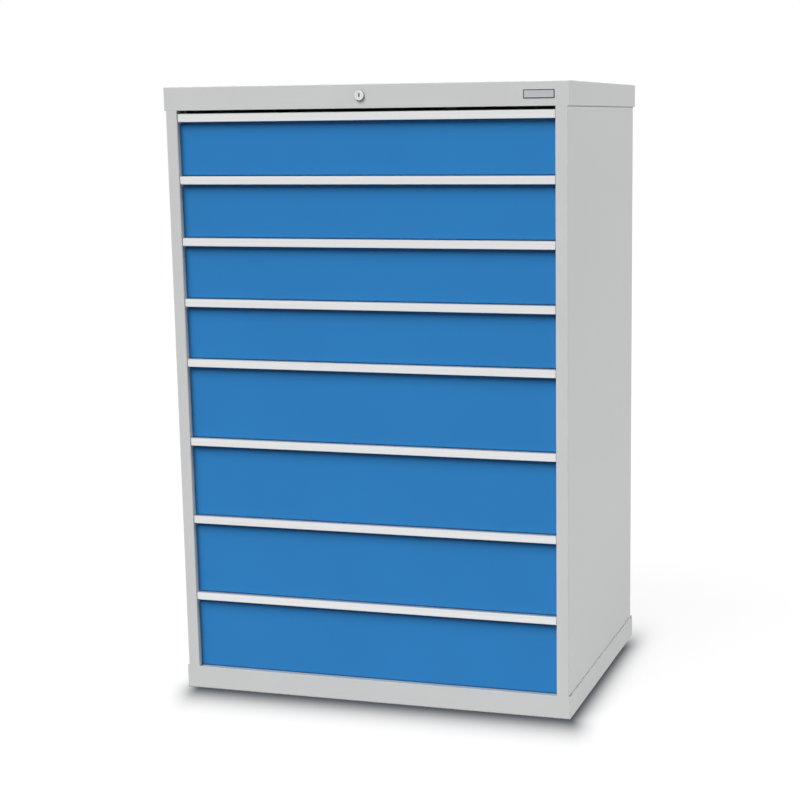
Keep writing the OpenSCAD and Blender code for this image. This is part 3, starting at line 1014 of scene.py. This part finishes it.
@dataclass
class BarePlate:
    """The small bordered plate at the right end of the cover, left bare."""

    finishes: Finishes
    width: float = 74.0 * MM
    height: float = 20.0 * MM
    thick: float = 0.8 * MM
    corner: float = 1.2 * MM
    least: float = 0.05 * MM
    border: float = 1.9 * MM
    rim: float = 0.2 * MM
    sink: float = 0.2 * MM
    from_right: float = 35.4 * MM
    from_top: float = 29.7 * MM
    corner_steps: int = 6

    def build(self) -> bpy.types.Object:
        """Carry the border's section round a rounded rectangle, and close its middle with a flat field.

        At an inset a from the outline a corner's arc has the radius max(corner - a, least), about a centre
        that lies max(corner, a + least) inside both edges.

        Returns:
            The new piece.
        """
        cover_low, cover_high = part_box("cover")
        middle_x = cover_high.x - self.from_right - 0.5 * self.width
        middle_z = cover_high.z - self.from_top
        section = np.array(
            [
                [0.0, 0.0],
                [0.0, self.thick - self.rim],
                [self.rim, self.thick],
                [self.border, self.thick],
                [self.border + self.rim, self.thick - self.sink],
            ]
        )
        inset = section[:, :1]
        turn = np.linspace(0.0, 0.5 * np.pi, self.corner_steps)
        angle = (np.arange(4)[:, None] * 0.5 * np.pi + turn).ravel()
        quarter = np.repeat(np.arange(4), self.corner_steps)
        sign_x = np.array([1.0, -1.0, -1.0, 1.0])[quarter]
        sign_z = np.array([1.0, 1.0, -1.0, -1.0])[quarter]
        radius = np.maximum(self.corner - inset, self.least)
        pull = np.maximum(self.corner, inset + self.least)
        x = middle_x + sign_x * (0.5 * self.width - pull) + radius * np.cos(angle)
        z = middle_z + sign_z * (0.5 * self.height - pull) + radius * np.sin(angle)
        y = cover_low.y - np.broadcast_to(section[:, 1:], x.shape)
        index, quads = ring_quads(*x.shape)
        faces = [*quads.tolist(), index[-1, ::-1].tolist(), index[0].tolist()]
        points = np.stack([x, y, z], axis=-1).reshape(-1, 3)
        materials = [self.finishes.border, self.finishes.field]
        piece = add_piece("bare_plate", (points, faces), materials, "case")
        covered = np.zeros(len(faces), np.int32)
        covered[len(quads)] = 1
        piece.data.polygons.foreach_set("material_index", covered)
        return piece


@dataclass(frozen=True)
class Lamp:
    """A soft, distant studio lamp, with angles in degrees as seen from the cabinet.

    It leaves no glint, so that metal mirrors the white room alone.
    """

    name: str
    azimuth: float
    elevation: float
    strength: float
    spread: float

    def build(self) -> None:
        """Hang the lamp: azimuth counts from the cabinet's front to its right."""
        data = bpy.data.lights.new(self.name, "SUN")
        data.energy = self.strength
        data.angle = math.radians(self.spread)
        lamp = bpy.data.objects.new(self.name, data)
        a, e = math.radians(self.azimuth), math.radians(self.elevation)
        towards = Vector((math.sin(a) * math.cos(e), -math.cos(a) * math.cos(e), math.sin(e)))
        lamp.rotation_euler = towards.to_track_quat("Z", "Y").to_euler()
        lamp.visible_glossy = False
        bpy.context.scene.collection.objects.link(lamp)


@dataclass(frozen=True)
class Viewpoint:
    """The camera, placed as the picture was taken, with its turn in degrees."""

    place: tuple[float, float, float] = (1.4704, -4.3476, 1.4304)
    turn: tuple[float, float, float] = (79.340, 0.623, 16.580)
    lens: float = 79.43
    shift: tuple[float, float] = (-0.0956, 0.0661)

    def build(self) -> None:
        """Set up the camera and make it the scene's."""
        data = bpy.data.cameras.new("camera")
        data.lens = self.lens
        data.shift_x, data.shift_y = self.shift
        camera = bpy.data.objects.new("camera", data)
        camera.location = self.place
        camera.rotation_euler = [math.radians(t) for t in self.turn]
        bpy.context.scene.collection.objects.link(camera)
        bpy.context.scene.camera = camera


@dataclass
class Studio:
    """White floor and sky, soft lamps and the camera.

    The sky is the light from all round, the bounce is the share of light that the floor throws back at the
    cabinet, and the glow is how far the floor shines by itself where it is seen.
    """

    key: Lamp = Lamp("key", azimuth=-29.0, elevation=55.0, strength=4.6, spread=36.0)
    side_fill: Lamp = Lamp("side_fill", azimuth=92.0, elevation=25.0, strength=2.01, spread=20.0)
    floor_r: float = 30.0
    floor_start: float = 0.1
    floor_rings: int = 8
    floor_steps: int = 48
    sky: float = 0.62
    bounce: float = 0.2
    glow: float = 0.93
    # shape and darkest colour of the floor's painted shadow
    left_inset: float = 33.0 * MM
    left_reach: float = 37.0 * MM
    right_reach: float = 37.0 * MM
    front_reach: float = 96.0 * MM
    back_inset: float = 138.0 * MM
    back_reach: float = 132.0 * MM
    lean: float = 0.24
    fall: float = 1.58
    shadow: Colour = (0.086, 0.098, 0.113)

    def seen(self, graph: Graph) -> Socket:
        """Mask the rays that show the background: straight from the camera, mirrored or let through.

        Args:
            graph: the tree that needs the mask.

        Returns:
            The mask.
        """
        path = graph.add("ShaderNodeLightPath").outputs
        mirrored = graph.math("MAXIMUM", path["Is Glossy Ray"], path["Is Transmission Ray"])
        return graph.math("MAXIMUM", path["Is Camera Ray"], mirrored)

    def floor_material(self) -> bpy.types.Material:
        """White floor with a painted shadow of the cabinet, darkest along the base and longest in front.

        With dx and dy the distances outside the shadow's core, each counted in its own side's reach, the
        shadow fades as exp(-sqrt(dx^2 + dy^2)^fall). The core is the base's footprint without a strip on
        the left and at the back, and in front it leans to the right, away from the key lamp. The painted
        shadow shows to the camera alone, and gloss mirrors the bare white floor.

        Returns:
            The floor's material.
        """
        material, graph = start_material("studio_floor")
        low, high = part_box("base")
        place = graph.add("ShaderNodeTexCoord").outputs["Object"]
        x, y, _ = graph.add("ShaderNodeSeparateXYZ", {0: place}).outputs

        def past(far: Number, near: Number, reach: float) -> Socket:
            """Count how many reaches one value lies past another, and never less than none."""
            gap = graph.math("SUBTRACT", far, near)
            return graph.math("MAXIMUM", graph.math("DIVIDE", gap, reach), 0.0)

        before = past(low.y, y, self.front_reach)
        along = graph.math("MULTIPLY_ADD", before, -self.lean * self.front_reach, x)
        left = past(low.x + self.left_inset, along, self.left_reach)
        beside = graph.math("ADD", left, past(along, high.x, self.right_reach))
        ahead = graph.math("ADD", before, past(y, high.y - self.back_inset, self.back_reach))
        outside = graph.add("ShaderNodeCombineXYZ", {"X": beside, "Y": ahead}).outputs[0]
        away = graph.math("POWER", graph.measure("LENGTH", outside), self.fall)
        fade = graph.math("EXPONENT", graph.math("MULTIPLY", away, -1.0))
        camera = graph.add("ShaderNodeLightPath").outputs["Is Camera Ray"]
        # Painted shadow: the fade darkens the floor's colour for camera rays only.
        white = graph.mix(graph.math("MULTIPLY", fade, camera), WHITE, self.shadow)
        lit = graph.add("ShaderNodeBsdfDiffuse", {"Color": white})
        glow = graph.add("ShaderNodeEmission", {"Color": white, "Strength": 1.0})
        shown = graph.add("ShaderNodeMixShader", {0: self.glow, 1: lit.outputs[0], 2: glow.outputs[0]})
        dim = graph.add("ShaderNodeBsdfDiffuse", {"Color": opaque(shade(WHITE, self.bounce))})
        ends = {1: dim.outputs[0], 2: shown.outputs[0]}
        end_material(graph, graph.add("ShaderNodeMixShader", {0: self.seen(graph), **ends}))
        return material

    def floor(self) -> None:
        """Lay the floor as rings of points: r is floor_r times the square of a share that grows evenly."""
        rings = np.linspace(self.floor_start, 1.0, self.floor_rings) ** 2 * self.floor_r
        angle = np.linspace(0.0, 2.0 * np.pi, self.floor_steps, endpoint=False)
        x, y = rings[:, None] * np.cos(angle), rings[:, None] * np.sin(angle)
        points = np.stack([x, y, np.zeros_like(x)], axis=-1).reshape(-1, 3)
        index, quads = ring_quads(*x.shape)
        mesh = bpy.data.meshes.new("floor")
        mesh.from_pydata(points.tolist(), [], [*quads.tolist(), index[0].tolist()])
        mesh.materials.append(self.floor_material())
        floor = bpy.data.objects.new("floor", mesh)
        bpy.context.scene.collection.objects.link(floor)

    def world(self) -> None:
        """Make the sky: white where it is seen, and elsewhere a soft light, strongest at the horizon.

        At a direction's height z the light is sky * (1 - z)^2, and below the horizon it is sky.
        """
        world = bpy.data.worlds.new("studio_sky")
        world.use_nodes = True
        graph = Graph(world.node_tree)
        towards = graph.add("ShaderNodeTexCoord").outputs["Generated"]
        z = graph.add("ShaderNodeSeparateXYZ", {0: towards}).outputs["Z"]
        below = graph.math("SUBTRACT", 1.0, graph.math("MAXIMUM", z, 0.0))
        level = graph.math("MULTIPLY", graph.math("POWER", below, 2.0), self.sky)
        light = graph.add("ShaderNodeBackground", {"Color": opaque(WHITE), "Strength": level})
        white = graph.add("ShaderNodeBackground", {"Color": opaque(WHITE), "Strength": 1.0})
        ends = {1: light.outputs[0], 2: white.outputs[0]}
        mixed = graph.add("ShaderNodeMixShader", {0: self.seen(graph), **ends})
        graph.add("ShaderNodeOutputWorld", {"Surface": mixed.outputs[0]})
        bpy.context.scene.world = world

    def build(self) -> None:
        """Set up floor, sky, lamps and camera."""
        self.floor()
        self.world()
        self.key.build()
        self.side_fill.build()
        Viewpoint().build()
        bpy.context.scene.view_settings.view_transform = "Standard"


def main() -> None:
    """Build the cabinet's sub-assemblies in order, then the studio."""
    logging.basicConfig(level=logging.INFO, format="%(message)s")
    plug_low, plug_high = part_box("lock_plug")
    finishes = Finishes(0.5 * (plug_low.z + plug_high.z))
    case = Case(finishes)
    case.dress()
    case.rivet_heads()
    drawers = sum(1 for joint in frame["joints"] if joint["name"].endswith("_pull"))
    for number in range(1, drawers + 1):
        Drawer(number, finishes).dress()
    lock = CentralLock(finishes)
    lock.dress()
    lock.key_shutter()
    BarePlate(finishes).build()
    Studio().build()


if __name__ == "__main__":
    main()
